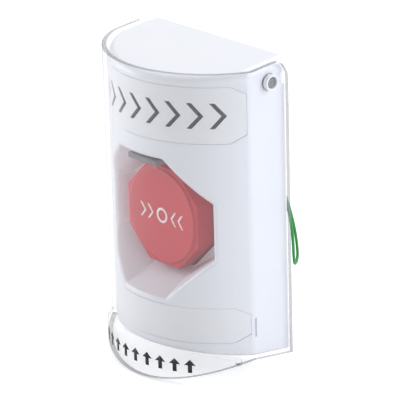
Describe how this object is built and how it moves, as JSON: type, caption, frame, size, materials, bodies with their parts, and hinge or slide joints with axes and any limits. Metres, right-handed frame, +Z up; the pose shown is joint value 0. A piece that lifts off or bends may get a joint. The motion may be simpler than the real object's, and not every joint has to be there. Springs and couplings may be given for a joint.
{
  "type": "emergency evacuation button",
  "caption": "Wall-mounted push button with a bowed white housing, a red octagonal button in a tapered pocket and a clear lift-up cover.",
  "frame": {"origin": "middle of the housing's back, on the wall plane, centre of the two wall-screw holes", "axes": "+Z up, +Y into the wall, the front faces -Y, +X to the right of someone who faces the front"},
  "size_m": [0.087, 0.0748, 0.1383],
  "materials": {
    "white_plastic": "satin",
    "clear_plastic": "clear",
    "label_white": "matte",
    "smoked_plastic": "gloss",
    "lamp": "gloss",
    "circuit_board": "satin",
    "red_plastic": "satin",
    "black_plastic": "matte",
    "block_plastic": "matte",
    "plunger_plastic": "matte",
    "zinc_steel": "satin",
    "spring_steel": "satin",
    "plated_steel": "satin",
    "tinned_copper": "satin",
    "green_insulation": "satin"
  },
  "bodies": {
    "base": {"front_housing": "white_plastic", "upper_label_plate": "label_white", "lower_label_plate": "label_white", "light_bar": "smoked_plastic", "status_leds": "lamp", "led_board": "circuit_board", "board_screws": "zinc_steel", "carrier": "black_plastic", "carrier_screws": "zinc_steel", "contact_block_lower": "block_plastic", "contact_block_upper": "block_plastic", "terminal_screws": "zinc_steel", "back_plate": "plated_steel", "housing_screws": "zinc_steel", "ring_tag": "tinned_copper", "earth_screw": "zinc_steel", "green_lead": "green_insulation"},
    "cover": {"clear_cover": "clear_plastic"},
    "button": {"button_cap": "red_plastic", "button_stem": "black_plastic", "cap_screws": "zinc_steel", "return_spring": "spring_steel"},
    "plunger_lower": {"contact_plunger_lower": "plunger_plastic"},
    "plunger_upper": {"contact_plunger_upper": "plunger_plastic"}
  },
  "joints": [
    {"name": "cover_hinge", "type": "hinge", "parent": "base", "child": "cover", "pos_m": [0, -0.0091, 0.056], "axis": [-1, 0, 0], "range_deg": [0, 88]},
    {"name": "button_press", "type": "slide", "parent": "base", "child": "button", "axis": [0, 1, 0], "range_m": [0, 0.005], "stiffness_N_per_m": 900, "springref_m": -0.002, "deforming": ["return_spring"]},
    {"name": "plunger_lower_slide", "type": "slide", "parent": "base", "child": "plunger_lower", "axis": [0, 1, 0], "range_m": [0, 0.005]},
    {"name": "plunger_upper_slide", "type": "slide", "parent": "base", "child": "plunger_upper", "axis": [0, 1, 0], "range_m": [0, 0.005]}
  ],
  "couplings": [
    {"joint": "plunger_lower_slide", "follows": "button_press", "ratio": 1},
    {"joint": "plunger_upper_slide", "follows": "button_press", "ratio": 1}
  ]
}
